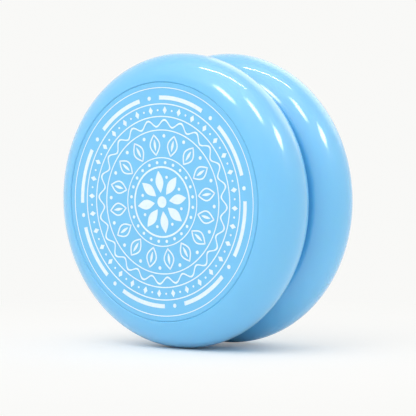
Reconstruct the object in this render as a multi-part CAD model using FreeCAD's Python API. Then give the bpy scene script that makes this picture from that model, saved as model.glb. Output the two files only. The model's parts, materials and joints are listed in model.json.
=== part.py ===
"""Ball-bearing yo-yo: two hollow plastic halves on a threaded steel axle, with a slim bearing between.

Units are millimetres. The yo-yo's axis lies along Y and +Z is up. The origin is the centre of the
bearing, which is also the centre of the whole toy. Each half is drawn on the +Y side, as the rear
half, and mirrored for the front half. In the outlines, the first number is the distance from the
yo-yo's axis and the second is the distance outwards from the plane between the halves.
"""
import FreeCAD, Part
import math
import os

# ---- Body of each half ----
RIM_RADIUS = 28.5            # largest radius of the yo-yo
RIM_ROUND = 6.6              # radius of the rim's round section
RIM_WIDTH = 5.5              # ring of the rim that shows around the cap
HALF_GAP = 1.25              # half of the string gap
WALL_CUT = 0.65              # depth that the catch wall takes off the rim's round section
CATCH_FILLET = 2.0           # between the catch wall and the rim's round section
FLOOR_THICKNESS = 2.0        # the wall that the string runs against
CAVITY_CHAMFER = 1.4         # where the hollow's wall meets its floor
RIM_EDGE_BREAK = 0.2         # small bevel round the cap's seat

# ---- Hub ----
HUB_FLANGE_RADIUS = 10.9     # thick disc behind the response pad
HUB_FLANGE_THICKNESS = 1.6   # on top of the floor
HUB_RADIUS = 6.3             # boss around the nut
HUB_TOP = 9.8                # outer end of the boss
HUB_FOOT_FILLET = 0.8        # where the boss meets its flange
RIB_COUNT = 10
RIB_THICKNESS = 1.2
RIB_LOW = 5.4                # top of a rib at the rim
RIB_HIGH = 7.9               # top of a rib at the hub
RIB_BITE = 0.4               # how far a rib runs into the hub and the rim

# ---- Cap ----
CAP_LEDGE = 2.1              # step that the cap's edge lies on
CAP_GAP = 0.06               # the fine groove around the cap
CAP_SETBACK = 0.07           # how far the cap's face lies below the rim's edge
CAP_THICKNESS = 1.6
CAP_EDGE_RADIUS = 0.25
SKIRT_THICKNESS = 1.1        # ring behind the cap that holds it in the half
SKIRT_LENGTH = 3.2
SKIRT_CLEARANCE = 0.08
SNAP_HEIGHT = 0.28           # snap bead on the skirt
SNAP_LENGTH = 0.9
SNAP_END = 0.5               # from the skirt's end to the bead
SNAP_CLEARANCE = 0.05
CAP_RIB_COUNT = 12
CAP_RIB_THICKNESS = 0.9
CAP_RIB_HEIGHT = 0.9
CAP_BOSS_RADIUS = 6.6        # ring in the middle of the cap's back
CAP_BOSS_WALL = 1.0

# ---- Axle and nuts, M4 ----
AXLE_RADIUS = 2.0
AXLE_LENGTH = 20.0
AXLE_CHAMFER = 0.4
SOCKET_ACROSS_FLATS = 2.0    # hexagon socket in the axle's rear end
SOCKET_DEPTH = 2.2
THREAD_CLEARANCE = 0.04      # between the axle and a nut's bore, which stand for the thread
NUT_ACROSS_FLATS = 7.0
NUT_THICKNESS = 3.2
NUT_CHAMFER_ANGLE = 30.0
NUT_SEAT = 5.8               # inner face of the nut
NUT_CLEARANCE = 0.04         # between a nut's flats and its pocket
AXLE_HOLE_CLEARANCE = 0.15   # in the plastic between the nut and the spacer

# ---- Bearing, slim quarter-inch bore ----
BORE_RADIUS = 3.175
BEARING_RADIUS = 6.35
BEARING_WIDTH = 3.175
BALL_COUNT = 10
BALL_RADIUS = 0.79375
BALL_CLEARANCE = 0.04        # between a ball and each race
TRACK_DEPTH = 0.27           # of the ball tracks in the races
RACE_CHAMFER = 0.2
CAGE_CLEARANCE = 0.25        # between the cage and each race
CAGE_SIDE_CLEARANCE = 0.06   # between the cage's closed side and the front shield
CAGE_OPEN_END = 0.5          # the side that the balls snap in from
CAGE_POCKET_CLEARANCE = 0.06
SHIELD_THICKNESS = 0.16
SHIELD_LIP = 0.08            # dished edge around the shield's hole
SHIELD_REST = 0.3            # how far a shield reaches into the outer race
SHIELD_RUNNING_GAP = 0.16    # between a shield's hole and the inner race
SHIELD_CLEARANCE = 0.03
CLIP_THICKNESS = 0.18        # wire ring that holds a shield
CLIP_BITE = 0.16             # depth of the clip's groove
CLIP_WIDTH = 0.45
CLIP_OPENING = 24.0          # degrees
CLIP_CLEARANCE = 0.02
CLIP_LIP = 0.1               # outer race left outside the clip's groove

# ---- Spacers and response pads ----
SPACER_SETBACK = 0.3         # below the inner race's outside
SPACER_DEPTH = 2.6           # from the bearing's face into the half
SPACER_CLEARANCE = 0.03      # in its hole in the half
SEAT_CLEARANCE = 0.02        # in the bearing's bore
SEAT_LENGTH = 1.42           # each spacer fills just under half of the bore
SPACER_BORE_CLEARANCE = 0.08
POCKET_CLEARANCE = 0.2       # around the bearing's rim, in the catch wall
POCKET_RUNOUT = 0.25         # behind the bearing's face
PAD_INNER = 7.3
PAD_OUTER = 9.55
PAD_THICKNESS = 1.0
PAD_SETBACK = 0.1            # below the catch wall
PAD_CLEARANCE = 0.05

ORIGIN = FreeCAD.Vector(0, 0, 0)
OUTWARD = FreeCAD.Vector(0, 1, 0)

BEARING_FACE = BEARING_WIDTH / 2
PITCH_RADIUS = (BORE_RADIUS + BEARING_RADIUS) / 2
SHOULDER = BALL_RADIUS + BALL_CLEARANCE - TRACK_DEPTH
INNER_SHOULDER = PITCH_RADIUS - SHOULDER
OUTER_SHOULDER = PITCH_RADIUS + SHOULDER
CLIP_SEAT = BEARING_FACE - CLIP_LIP - CLIP_CLEARANCE - CLIP_THICKNESS
SHIELD_SEAT = CLIP_SEAT - SHIELD_THICKNESS
SHIELD_INNER = INNER_SHOULDER + SHIELD_RUNNING_GAP
SHIELD_OUTER = OUTER_SHOULDER + SHIELD_REST
CLIP_RADIUS = SHIELD_OUTER + SHIELD_CLEARANCE + CLIP_BITE - CLIP_CLEARANCE
SPACER_RADIUS = INNER_SHOULDER - SPACER_SETBACK
RIM_CENTRE = RIM_RADIUS - RIM_ROUND
RIM_PLANE = HALF_GAP + RIM_ROUND - WALL_CUT
RIM_EDGE = RIM_PLANE + math.sqrt(RIM_ROUND**2 - (RIM_ROUND - RIM_WIDTH)**2)
CAP_SEAT_RADIUS = RIM_RADIUS - RIM_WIDTH
CAVITY_RADIUS = CAP_SEAT_RADIUS - CAP_LEDGE
CAP_FACE = RIM_EDGE - CAP_SETBACK
CAP_BACK = CAP_FACE - CAP_THICKNESS
FLOOR_TOP = HALF_GAP + FLOOR_THICKNESS
SKIRT_OUTER = CAVITY_RADIUS - SKIRT_CLEARANCE
SKIRT_END = CAP_BACK - SKIRT_LENGTH
SPACER_END = BEARING_FACE + SPACER_DEPTH
POCKET_FLOOR = BEARING_FACE + POCKET_RUNOUT
PAD_RECESS = HALF_GAP + PAD_SETBACK + PAD_THICKNESS


# ---- Ways of making a shape ----
def at(radius, out):
    """A point of an outline: its distance from the axis and its distance outwards."""
    return FreeCAD.Vector(radius, out, 0)


def lines(points):
    """Straight edges from each point to the next."""
    return [Part.LineSegment(a, b).toShape() for a, b in zip(points, points[1:])]


def turned_edges(edges):
    """The solid that closed edges make when they are turned once around the axis."""
    return Part.Face(Part.Wire(edges)).revolve(ORIGIN, OUTWARD, 360)


def turned(points):
    """The solid that a closed outline of straight lines makes around the axis."""
    vectors = [at(radius, out) for radius, out in points]
    return turned_edges(lines(vectors + vectors[:1]))


def tube(inner, outer, low, high):
    """A plain ring, from low to high along the axis."""
    return turned([(inner, low), (outer, low), (outer, high), (inner, high)])


def rod(radius, low, high):
    """A plain cylinder on the axis."""
    return Part.makeCylinder(radius, high - low, at(0, low), OUTWARD)


def hexagon(across_flats, low, high):
    """A six-sided bar on the axis."""
    corner = across_flats / 2 / math.cos(math.radians(30))
    points = []
    for step in range(7):
        angle = math.radians(60 * step)
        points.append(FreeCAD.Vector(corner * math.cos(angle), low, corner * math.sin(angle)))
    return Part.Face(Part.makePolygon(points)).extrude(OUTWARD * (high - low))


def around_axis(shape, count, first_angle=0.0):
    """Copies of a shape, evenly spaced around the axis."""
    copies = []
    for number in range(count):
        copy = shape.copy()
        copy.rotate(ORIGIN, OUTWARD, first_angle + 360 * number / count)
        copies.append(copy)
    return copies


def radial_rib(outline, thickness):
    """A flat rib that stands on the axis's plane, from its outline."""
    vectors = [at(radius, out) for radius, out in outline]
    face = Part.Face(Part.Wire(lines(vectors + vectors[:1])))
    face.translate(FreeCAD.Vector(0, 0, -thickness / 2))
    return face.extrude(FreeCAD.Vector(0, 0, thickness))


def arc(start, middle, end):
    """A round edge through three points."""
    return Part.Arc(start, middle, end).toShape()


# ---- Pieces of one half ----
def half_outside():
    """The half as a solid of revolution: catch wall, fillet, round rim and the edge round the cap."""
    centre = at(RIM_CENTRE, RIM_PLANE)
    fillet_across = math.sqrt((RIM_ROUND - CATCH_FILLET)**2 - (RIM_PLANE - HALF_GAP - CATCH_FILLET)**2)
    fillet_centre = at(RIM_CENTRE + fillet_across, HALF_GAP + CATCH_FILLET)
    outwards = (fillet_centre - centre).normalize()
    wall_end = at(fillet_centre.x, HALF_GAP)
    fillet_end = centre + outwards * RIM_ROUND
    fillet_middle = fillet_centre + (outwards - OUTWARD).normalize() * CATCH_FILLET
    widest = at(RIM_RADIUS, RIM_PLANE)
    seat_edge = at(CAP_SEAT_RADIUS, RIM_EDGE)
    edges = lines([at(0, RIM_EDGE), at(0, HALF_GAP), wall_end])
    edges += [arc(wall_end, fillet_middle, fillet_end), arc(fillet_end, widest, seat_edge)]
    edges += lines([seat_edge, at(0, RIM_EDGE)])
    return turned_edges(edges)


def half_hollow():
    """The hollow behind the cap: the cap's seat, the snap groove and the space around the hub."""
    above = RIM_EDGE + CAP_THICKNESS
    snap_low = SKIRT_END + SNAP_END - SNAP_CLEARANCE
    snap_high = snap_low + SNAP_LENGTH + 2 * SNAP_CLEARANCE
    snap_radius = CAVITY_RADIUS + SNAP_HEIGHT
    seat = turned([(0, CAP_BACK), (CAP_SEAT_RADIUS, CAP_BACK), (CAP_SEAT_RADIUS, RIM_EDGE - RIM_EDGE_BREAK),
                   (CAP_SEAT_RADIUS + RIM_EDGE_BREAK, RIM_EDGE), (CAP_SEAT_RADIUS, above), (0, above)])
    well = turned([(0, FLOOR_TOP), (CAVITY_RADIUS - CAVITY_CHAMFER, FLOOR_TOP),
                   (CAVITY_RADIUS, FLOOR_TOP + CAVITY_CHAMFER), (CAVITY_RADIUS, CAP_BACK), (0, CAP_BACK)])
    groove = turned([(HUB_RADIUS, snap_low), (CAVITY_RADIUS, snap_low),
                     (snap_radius, snap_low + SNAP_HEIGHT), (snap_radius, snap_high - SNAP_HEIGHT),
                     (CAVITY_RADIUS, snap_high), (HUB_RADIUS, snap_high)])
    return seat.fuse([well, groove])


def edge_at(solid, out):
    """The largest circular edge of a round solid that lies at one distance along the axis."""
    found = [edge for edge in solid.Edges if abs(edge.BoundBox.YMin - out) < 1e-6
             and abs(edge.BoundBox.YMax - out) < 1e-6]
    return max(found, key=lambda edge: edge.BoundBox.XLength)


def hub():
    """The boss that holds the nut, on its flange, with ribs out to the rim."""
    flange_top = FLOOR_TOP + HUB_FLANGE_THICKNESS
    profile = lines([at(0, HALF_GAP), at(HUB_FLANGE_RADIUS, HALF_GAP), at(HUB_FLANGE_RADIUS, flange_top),
                     at(HUB_RADIUS + HUB_FOOT_FILLET, flange_top)])
    bend = HUB_FOOT_FILLET * (1 - math.sqrt(0.5))
    profile += [arc(at(HUB_RADIUS + HUB_FOOT_FILLET, flange_top), at(HUB_RADIUS + bend, flange_top + bend),
                    at(HUB_RADIUS, flange_top + HUB_FOOT_FILLET))]
    profile += lines([at(HUB_RADIUS, flange_top + HUB_FOOT_FILLET), at(HUB_RADIUS, HUB_TOP),
                      at(0, HUB_TOP), at(0, HALF_GAP)])
    inner = HUB_RADIUS - RIB_BITE
    outer = CAVITY_RADIUS + RIB_BITE
    rib = radial_rib([(inner, FLOOR_TOP - RIB_BITE), (outer, FLOOR_TOP - RIB_BITE), (outer, RIB_LOW),
                      (inner, RIB_HIGH)], RIB_THICKNESS)
    return [turned_edges(profile)] + around_axis(rib, RIB_COUNT)


def shell():
    """One half's moulding: rim, catch wall, hollow, hub and the seats of the pieces that it holds."""
    body = half_outside().cut(half_hollow()).fuse(hub())
    pad_seat = tube(PAD_INNER - PAD_CLEARANCE, PAD_OUTER + PAD_CLEARANCE, 0, PAD_RECESS)
    bearing_pocket = rod(BEARING_RADIUS + POCKET_CLEARANCE, 0, POCKET_FLOOR)
    spacer_seat = rod(SPACER_RADIUS + SPACER_CLEARANCE, 0, SPACER_END)
    axle_hole = rod(AXLE_RADIUS + AXLE_HOLE_CLEARANCE, 0, RIM_EDGE)
    nut_pocket = hexagon(NUT_ACROSS_FLATS + 2 * NUT_CLEARANCE, NUT_SEAT, RIM_EDGE)
    return body.cut([pad_seat, bearing_pocket, spacer_seat, axle_hole, nut_pocket]).removeSplitter()


def cap():
    """The snap-in disc: flat face, skirt with its bead, and stiffening ribs on its back."""
    radius = CAP_SEAT_RADIUS - CAP_GAP
    disc = rod(radius, CAP_BACK, CAP_FACE)
    disc = disc.makeFillet(CAP_EDGE_RADIUS, [edge_at(disc, CAP_FACE)])
    bead = SKIRT_END + SNAP_END
    bead_radius = SKIRT_OUTER + SNAP_HEIGHT
    skirt = turned([(SKIRT_OUTER - SKIRT_THICKNESS, SKIRT_END), (SKIRT_OUTER, SKIRT_END), (SKIRT_OUTER, bead),
                    (bead_radius, bead + SNAP_HEIGHT), (bead_radius, bead + SNAP_LENGTH - SNAP_HEIGHT),
                    (SKIRT_OUTER, bead + SNAP_LENGTH), (SKIRT_OUTER, CAP_FACE - CAP_THICKNESS / 2),
                    (SKIRT_OUTER - SKIRT_THICKNESS, CAP_FACE - CAP_THICKNESS / 2)])
    low = CAP_BACK - CAP_RIB_HEIGHT
    high = CAP_FACE - CAP_THICKNESS / 2
    boss = tube(CAP_BOSS_RADIUS, CAP_BOSS_RADIUS + CAP_BOSS_WALL, low, high)
    inner = CAP_BOSS_RADIUS + CAP_BOSS_WALL / 2
    outer = SKIRT_OUTER - SKIRT_THICKNESS / 2
    rib = radial_rib([(inner, low), (outer, low), (outer, high), (inner, high)], CAP_RIB_THICKNESS)
    return disc.fuse([skirt, boss] + around_axis(rib, CAP_RIB_COUNT)).removeSplitter()


def nut():
    """An M4 hexagon nut with its corners turned off at both faces."""
    outer = NUT_SEAT + NUT_THICKNESS
    body = hexagon(NUT_ACROSS_FLATS, NUT_SEAT, outer)
    corner = NUT_ACROSS_FLATS / 2 / math.cos(math.radians(30))
    flat = NUT_ACROSS_FLATS / 2
    drop = (corner - flat) * math.tan(math.radians(NUT_CHAMFER_ANGLE))
    turned_corners = turned([(0, NUT_SEAT), (flat, NUT_SEAT), (corner, NUT_SEAT + drop),
                             (corner, outer - drop), (flat, outer), (0, outer)])
    bore = rod(AXLE_RADIUS + THREAD_CLEARANCE, NUT_SEAT, outer)
    return body.common(turned_corners).cut(bore)


def spacer():
    """The turned seat that carries one side of the bearing's bore."""
    seat = BORE_RADIUS - SEAT_CLEARANCE
    bore = AXLE_RADIUS + SPACER_BORE_CLEARANCE
    seat_end = BEARING_FACE - SEAT_LENGTH
    chamfer = RACE_CHAMFER
    return turned([(bore, seat_end), (seat - chamfer, seat_end), (seat, seat_end + chamfer),
                   (seat, BEARING_FACE), (SPACER_RADIUS, BEARING_FACE), (SPACER_RADIUS, SPACER_END),
                   (bore, SPACER_END)])


def response_pad():
    """The soft ring that grips the string, in its recess in the catch wall."""
    return tube(PAD_INNER, PAD_OUTER, HALF_GAP + PAD_SETBACK, PAD_RECESS)


# ---- The axle ----
def axle():
    """A headless screw: chamfered ends, and a hexagon socket at the rear end."""
    end = AXLE_LENGTH / 2
    tip = AXLE_RADIUS - AXLE_CHAMFER
    body = turned([(0, -end), (tip, -end), (AXLE_RADIUS, AXLE_CHAMFER - end),
                   (AXLE_RADIUS, end - AXLE_CHAMFER), (tip, end), (0, end)])
    return body.cut(hexagon(SOCKET_ACROSS_FLATS, end - SOCKET_DEPTH, end))


# ---- Pieces of the bearing ----
def ball_track():
    """The round groove that the balls run in, as a full ring to cut from the races."""
    return Part.makeTorus(PITCH_RADIUS, BALL_RADIUS + BALL_CLEARANCE, ORIGIN, OUTWARD)


def inner_race():
    """The inner ring, which sits on the two spacers."""
    face = BEARING_FACE
    edge = BORE_RADIUS + RACE_CHAMFER
    body = turned([(edge, -face), (INNER_SHOULDER, -face), (INNER_SHOULDER, face), (edge, face),
                   (BORE_RADIUS, face - RACE_CHAMFER), (BORE_RADIUS, RACE_CHAMFER - face)])
    return body.cut(ball_track())


def outer_race():
    """The outer ring, which the string runs on, with a seat and a clip groove for each shield."""
    face = BEARING_FACE
    edge = BEARING_RADIUS - RACE_CHAMFER
    body = turned([(OUTER_SHOULDER, -face), (edge, -face), (BEARING_RADIUS, RACE_CHAMFER - face),
                   (BEARING_RADIUS, face - RACE_CHAMFER), (edge, face), (OUTER_SHOULDER, face)])
    shield_radius = SHIELD_OUTER + SHIELD_CLEARANCE
    clip_radius = CLIP_RADIUS + CLIP_CLEARANCE
    clip_end = CLIP_SEAT + CLIP_THICKNESS + CLIP_CLEARANCE
    seat = turned([(0, SHIELD_SEAT), (shield_radius, SHIELD_SEAT), (shield_radius, CLIP_SEAT),
                   (clip_radius, CLIP_SEAT), (clip_radius, clip_end), (shield_radius, clip_end),
                   (shield_radius, face), (0, face)])
    return body.cut([ball_track(), seat, front_copy(seat)])


def cage():
    """The crown that keeps the balls apart: a thin ring with a round pocket for each ball."""
    closed_end = SHIELD_SEAT - SHIELD_LIP - CAGE_SIDE_CLEARANCE
    ring = tube(INNER_SHOULDER + CAGE_CLEARANCE, OUTER_SHOULDER - CAGE_CLEARANCE, -closed_end, CAGE_OPEN_END)
    pocket = Part.makeSphere(BALL_RADIUS + CAGE_POCKET_CLEARANCE, at(PITCH_RADIUS, 0))
    return ring.cut(around_axis(pocket, BALL_COUNT))


def balls():
    """The balls, one after another on the pitch circle."""
    return around_axis(Part.makeSphere(BALL_RADIUS, at(PITCH_RADIUS, 0), OUTWARD), BALL_COUNT)


def shield():
    """The dished washer that closes one side of the bearing."""
    low = SHIELD_SEAT
    high = low + SHIELD_THICKNESS
    step = SHIELD_INNER + SHIELD_THICKNESS
    return turned([(SHIELD_INNER, low - SHIELD_LIP), (step, low - SHIELD_LIP), (step, low),
                   (SHIELD_OUTER, low), (SHIELD_OUTER, high), (SHIELD_INNER, high)])


def clip():
    """The open wire ring that holds one shield in the outer race."""
    high = CLIP_SEAT + CLIP_THICKNESS
    vectors = [at(CLIP_RADIUS - CLIP_WIDTH, CLIP_SEAT), at(CLIP_RADIUS, CLIP_SEAT),
               at(CLIP_RADIUS, high), at(CLIP_RADIUS - CLIP_WIDTH, high)]
    face = Part.Face(Part.Wire(lines(vectors + vectors[:1])))
    face.rotate(ORIGIN, OUTWARD, CLIP_OPENING / 2)
    return face.revolve(ORIGIN, OUTWARD, 360 - CLIP_OPENING)


# ---- Writing the pieces ----
def front_copy(shape):
    """The same shape on the front side."""
    return shape.mirror(ORIGIN, OUTWARD)


def write(name, shape):
    """Save one piece, and say how large it is."""
    shape.exportStep("parts/" + name + ".step")
    box = shape.BoundBox
    print(f"{name:24s} {len(shape.Solids)} solid(s) {shape.Volume:9.1f} mm3  valid {shape.isValid()}  "
          f"x {box.XLength:.2f} y {box.YMin:.2f}..{box.YMax:.2f}")


os.makedirs("parts", exist_ok=True)
PAIRED = {"shell": shell, "cap": cap, "nut": nut, "spacer": spacer, "response_pad": response_pad,
          "bearing_shield": shield, "bearing_clip": clip}
SINGLE = {"axle": axle, "bearing_inner_race": inner_race, "bearing_outer_race": outer_race,
          "bearing_cage": cage}
for name, make in PAIRED.items():
    piece = make()
    write("rear_" + name, piece)
    write("front_" + name, front_copy(piece))
for name, make in SINGLE.items():
    write(name, make())
for number, ball in enumerate(balls(), 1):
    write(f"bearing_ball_{number:02d}", ball)
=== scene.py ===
# %% [markdown]
# A ball-bearing yo-yo, dressed for its portrait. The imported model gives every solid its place, and
# this script adds what solids can't show: smooth mouldings, printed caps, a real thread on the
# axle, and materials with some life in them. All lengths are metres. The yo-yo's axis is Y, +Z is
# up, and the origin is the middle of the bearing.

import bmesh
import bpy
import json
import math
from mathutils import Matrix, Vector


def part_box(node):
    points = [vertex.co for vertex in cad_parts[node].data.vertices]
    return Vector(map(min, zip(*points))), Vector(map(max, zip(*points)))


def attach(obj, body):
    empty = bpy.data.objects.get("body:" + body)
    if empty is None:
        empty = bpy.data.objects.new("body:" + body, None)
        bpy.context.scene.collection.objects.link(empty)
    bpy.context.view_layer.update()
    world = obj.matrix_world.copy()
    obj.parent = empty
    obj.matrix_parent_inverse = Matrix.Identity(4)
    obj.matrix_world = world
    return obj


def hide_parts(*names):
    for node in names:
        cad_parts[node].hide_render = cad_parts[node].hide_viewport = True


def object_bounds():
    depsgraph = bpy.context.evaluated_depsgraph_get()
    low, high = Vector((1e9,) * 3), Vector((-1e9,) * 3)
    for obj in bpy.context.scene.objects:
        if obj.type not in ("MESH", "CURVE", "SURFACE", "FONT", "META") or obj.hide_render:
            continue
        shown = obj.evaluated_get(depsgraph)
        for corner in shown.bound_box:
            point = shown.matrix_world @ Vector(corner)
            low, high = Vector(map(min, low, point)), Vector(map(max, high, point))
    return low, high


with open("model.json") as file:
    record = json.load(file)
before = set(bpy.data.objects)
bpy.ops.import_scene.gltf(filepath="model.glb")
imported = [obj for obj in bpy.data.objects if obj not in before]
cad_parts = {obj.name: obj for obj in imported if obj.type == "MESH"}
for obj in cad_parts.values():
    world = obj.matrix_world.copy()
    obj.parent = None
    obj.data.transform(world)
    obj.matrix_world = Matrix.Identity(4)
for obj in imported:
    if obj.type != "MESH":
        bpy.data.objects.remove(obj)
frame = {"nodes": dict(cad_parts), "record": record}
cad_low, cad_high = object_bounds()

MM = 0.001
ORIGIN = Vector((0, 0, 0))
AXIS = Vector((0, 1, 0))
CENTRE = (cad_low + cad_high) / 2
FLOOR = cad_low.z
print("CAD nodes:", len(frame["nodes"]), "box in mm:", [round(side / MM, 2) for side in cad_high - cad_low])

# %% [markdown]
# The camera stands well away with a long lens, as is usual for a product picture, so the round
# faces keep their shape. It could aim with a Track To constraint. Here its three axes are worked
# out from two angles instead, because the lamps are placed by the same three axes later on.

# %% Camera
AZIMUTH = math.radians(38.05)
ELEVATION = math.radians(2.78)
SENSOR_WIDTH = 36            # in mm, as the focal length is
FOCAL_LENGTH = 237.6
RADIUS = cad_high.z
CAMERA_DISTANCE = 18.83      # in radii of the yo-yo, as the two shifts are
SHIFT_RIGHT = 0.0145
SHIFT_UP = -0.0585

camera_back = Vector((math.sin(AZIMUTH) * math.cos(ELEVATION), -math.cos(AZIMUTH) * math.cos(ELEVATION),
                      math.sin(ELEVATION)))
camera_right = Vector((math.cos(AZIMUTH), math.sin(AZIMUTH), 0))
camera_up = camera_back.cross(camera_right)

camera_data = bpy.data.cameras.new("camera")
camera_data.sensor_width = SENSOR_WIDTH
camera_data.lens = FOCAL_LENGTH
camera_data.clip_start = 0.02
camera_data.clip_end = 50
camera = bpy.data.objects.new("camera", camera_data)
from_centre = CAMERA_DISTANCE * camera_back + SHIFT_RIGHT * camera_right + SHIFT_UP * camera_up
place = CENTRE + RADIUS * from_centre
turn = Matrix((camera_right, camera_up, camera_back)).transposed()
camera.matrix_world = Matrix.Translation(place) @ turn.to_4x4()
bpy.context.scene.collection.objects.link(camera)
bpy.context.scene.camera = camera
bpy.context.scene.view_settings.view_transform = "Standard"
print("camera distance in mm:", round((place - CENTRE).length / MM))

# %% [markdown]
# Small helpers come next. Nodes can be placed and linked one by one in the editor, but a node tree
# is easier to read when each node is made in one line with its inputs. So add_node does that, and
# every material below is written with it.

# %% Node helper
def add_node(tree, kind, inputs=None, **settings):
    """A new node with its settings, and its inputs set to values or linked from other sockets."""
    node = tree.nodes.new(kind)
    for name, value in settings.items():
        setattr(node, name, value)
    for name, value in (inputs or {}).items():
        if isinstance(value, bpy.types.NodeSocket):
            tree.links.new(value, node.inputs[name])
        else:
            node.inputs[name].default_value = value
    return node


def new_material(name):
    """An empty material: its node tree and its output node."""
    material = bpy.data.materials.new(name)
    material.use_nodes = True
    tree = material.node_tree
    tree.nodes.clear()
    return material, tree, tree.nodes.new("ShaderNodeOutputMaterial")


print("the node helper is ready; materials so far:", len(bpy.data.materials))

# %% [markdown]
# A white sweep is the usual product background. A curved backdrop could do it, but its bend shows
# in the rim. This one is a flat floor whose far part fades into the white of the world: near the
# yo-yo it is plain matt white and takes the shadow, and further off it shows as even white. The
# camera and the reflections fade it from two places. The camera's is where the contact shadow
# lies, and the reflections' is between the halves, which mirror the floor right under them.

# %% How the floor fades
SHADOW_CENTRE = (0.006, -0.010, 0)
MIRROR_CENTRE = (-0.002, 0.007, 0)
# Pairs of a distance in metres and the share of even white there.
SHADOW_FADE = [(0.008, 0.0), (0.017, 0.33), (0.027, 0.55), (0.042, 0.75), (0.072, 0.87), (0.12, 1.0)]
MIRROR_FADE = [(0.015, 0.0), (0.032, 0.5), (0.050, 1.0)]


def add_sum(tree, first, second):
    """Two values added, and held at 1."""
    return add_node(tree, "ShaderNodeMath", {0: first, 1: second}, operation="ADD", use_clamp=True).outputs[0]


def add_product(tree, first, second):
    """Two values multiplied."""
    return add_node(tree, "ShaderNodeMath", {0: first, 1: second}, operation="MULTIPLY").outputs[0]


def seen_in_gloss(tree, path):
    """1 for rays that left a glossy or a clear surface."""
    return add_sum(tree, path.outputs["Is Glossy Ray"], path.outputs["Is Transmission Ray"])


def fade(tree, spot, centre, stops):
    """A value that rises with a spot's distance from a centre, through (metres, value) stops."""
    reach = stops[-1][0]
    distance = add_node(tree, "ShaderNodeVectorMath", {0: spot, 1: centre}, operation="DISTANCE")
    share = add_node(tree, "ShaderNodeMath", {0: distance.outputs["Value"], 1: reach}, operation="DIVIDE")
    ramp = add_node(tree, "ShaderNodeValToRGB", {"Fac": share.outputs[0]})
    for metres, value in stops[:-1]:
        ramp.color_ramp.elements.new(metres / reach).color = (value, value, value, 1)
    return ramp.outputs["Color"]


def even_white_share(tree, place):
    """How much of the even white shows at a spot of the floor, to the camera or in a reflection."""
    path = add_node(tree, "ShaderNodeLightPath")
    flat = add_node(tree, "ShaderNodeVectorMath", {0: place.outputs["Object"], 1: (1, 1, 0)},
                    operation="MULTIPLY")
    seen = fade(tree, flat.outputs[0], SHADOW_CENTRE, SHADOW_FADE)
    mirrored = fade(tree, flat.outputs[0], MIRROR_CENTRE, MIRROR_FADE)
    return add_sum(tree, add_product(tree, path.outputs["Is Camera Ray"], seen),
                   add_product(tree, seen_in_gloss(tree, path), mirrored))


print("the floor is even white from", round(SHADOW_FADE[-1][0] / MM), "mm on")

# %% [markdown]
# The floor itself is one huge flat face. Thickness would never show, so a grid of a single square
# is enough. Paper is matt with a very faint grain, which a little bump gives. A Mix Shader changes
# it to the even white by the share worked out above.

# %% Floor
PAPER = (0.93, 0.92, 0.90, 1)
BACKDROP = (0.945, 0.945, 0.93, 1)
FLOOR_REACH = 20


def floor_material():
    """Matt white paper that turns into the even backdrop with distance."""
    material, tree, output = new_material("paper")
    place = add_node(tree, "ShaderNodeTexCoord")
    grain = add_node(tree, "ShaderNodeTexNoise", {"Vector": place.outputs["Object"], "Scale": 900.0})
    bump = add_node(tree, "ShaderNodeBump", {"Height": grain.outputs["Fac"], "Strength": 0.05,
                                             "Distance": 0.0001})
    paper = add_node(tree, "ShaderNodeBsdfDiffuse", {"Color": PAPER, "Normal": bump.outputs[0]})
    white = add_node(tree, "ShaderNodeEmission", {"Color": BACKDROP})
    mix = add_node(tree, "ShaderNodeMixShader", {0: even_white_share(tree, place), 1: paper.outputs[0],
                                                 2: white.outputs[0]})
    tree.links.new(mix.outputs[0], output.inputs["Surface"])
    return material


floor_mesh = bpy.data.meshes.new("floor")
floor_bm = bmesh.new()
bmesh.ops.create_grid(floor_bm, x_segments=1, y_segments=1, size=FLOOR_REACH)
bmesh.ops.translate(floor_bm, verts=floor_bm.verts, vec=(0, 0, FLOOR))
floor_bm.to_mesh(floor_mesh)
floor_bm.free()
floor_mesh.materials.append(floor_material())
floor = bpy.data.objects.new("floor", floor_mesh)
bpy.context.scene.collection.objects.link(floor)
print("floor at", round(FLOOR / MM, 2), "mm")

# %% [markdown]
# Most of the light is the even white room, so it belongs in the world. What looks straight at the
# world, from the camera or in a reflection, sees the backdrop's plain white instead of the light.

# %% World
ROOM_COLOUR = (0.985, 0.99, 1, 1)
ROOM_LIGHT = 0.78


def make_world():
    """Even white light, with a plain white backdrop for whatever looks at it."""
    world = bpy.data.worlds.new("room")
    world.use_nodes = True
    tree = world.node_tree
    tree.nodes.clear()
    room = add_node(tree, "ShaderNodeBackground", {"Color": ROOM_COLOUR, "Strength": ROOM_LIGHT})
    backdrop = add_node(tree, "ShaderNodeBackground", {"Color": BACKDROP})
    path = add_node(tree, "ShaderNodeLightPath")
    directly = add_sum(tree, path.outputs["Is Camera Ray"], seen_in_gloss(tree, path))
    mix = add_node(tree, "ShaderNodeMixShader", {0: directly, 1: room.outputs[0], 2: backdrop.outputs[0]})
    output = add_node(tree, "ShaderNodeOutputWorld")
    tree.links.new(mix.outputs[0], output.inputs["Surface"])
    return world


bpy.context.scene.world = make_world()
print("room light:", ROOM_LIGHT)

# %% [markdown]
# The bright shapes on the glossy rims are reflections of lamps. A spotlight would make a round dot,
# so each lamp is an area light, whose two ends are given as directions seen from the camera: to
# the right, up, and back towards the camera. Brightness is chosen by radiance, since that is what a
# reflection shows, whatever the lamp's size. An even lamp mirrors as a hard-edged window. Most of
# these fall off towards their edges, as a lamp behind cloth does.

# %% Lamp helpers
PEAK = 1 / 16                # a feathered lamp's hump in its very middle


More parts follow.
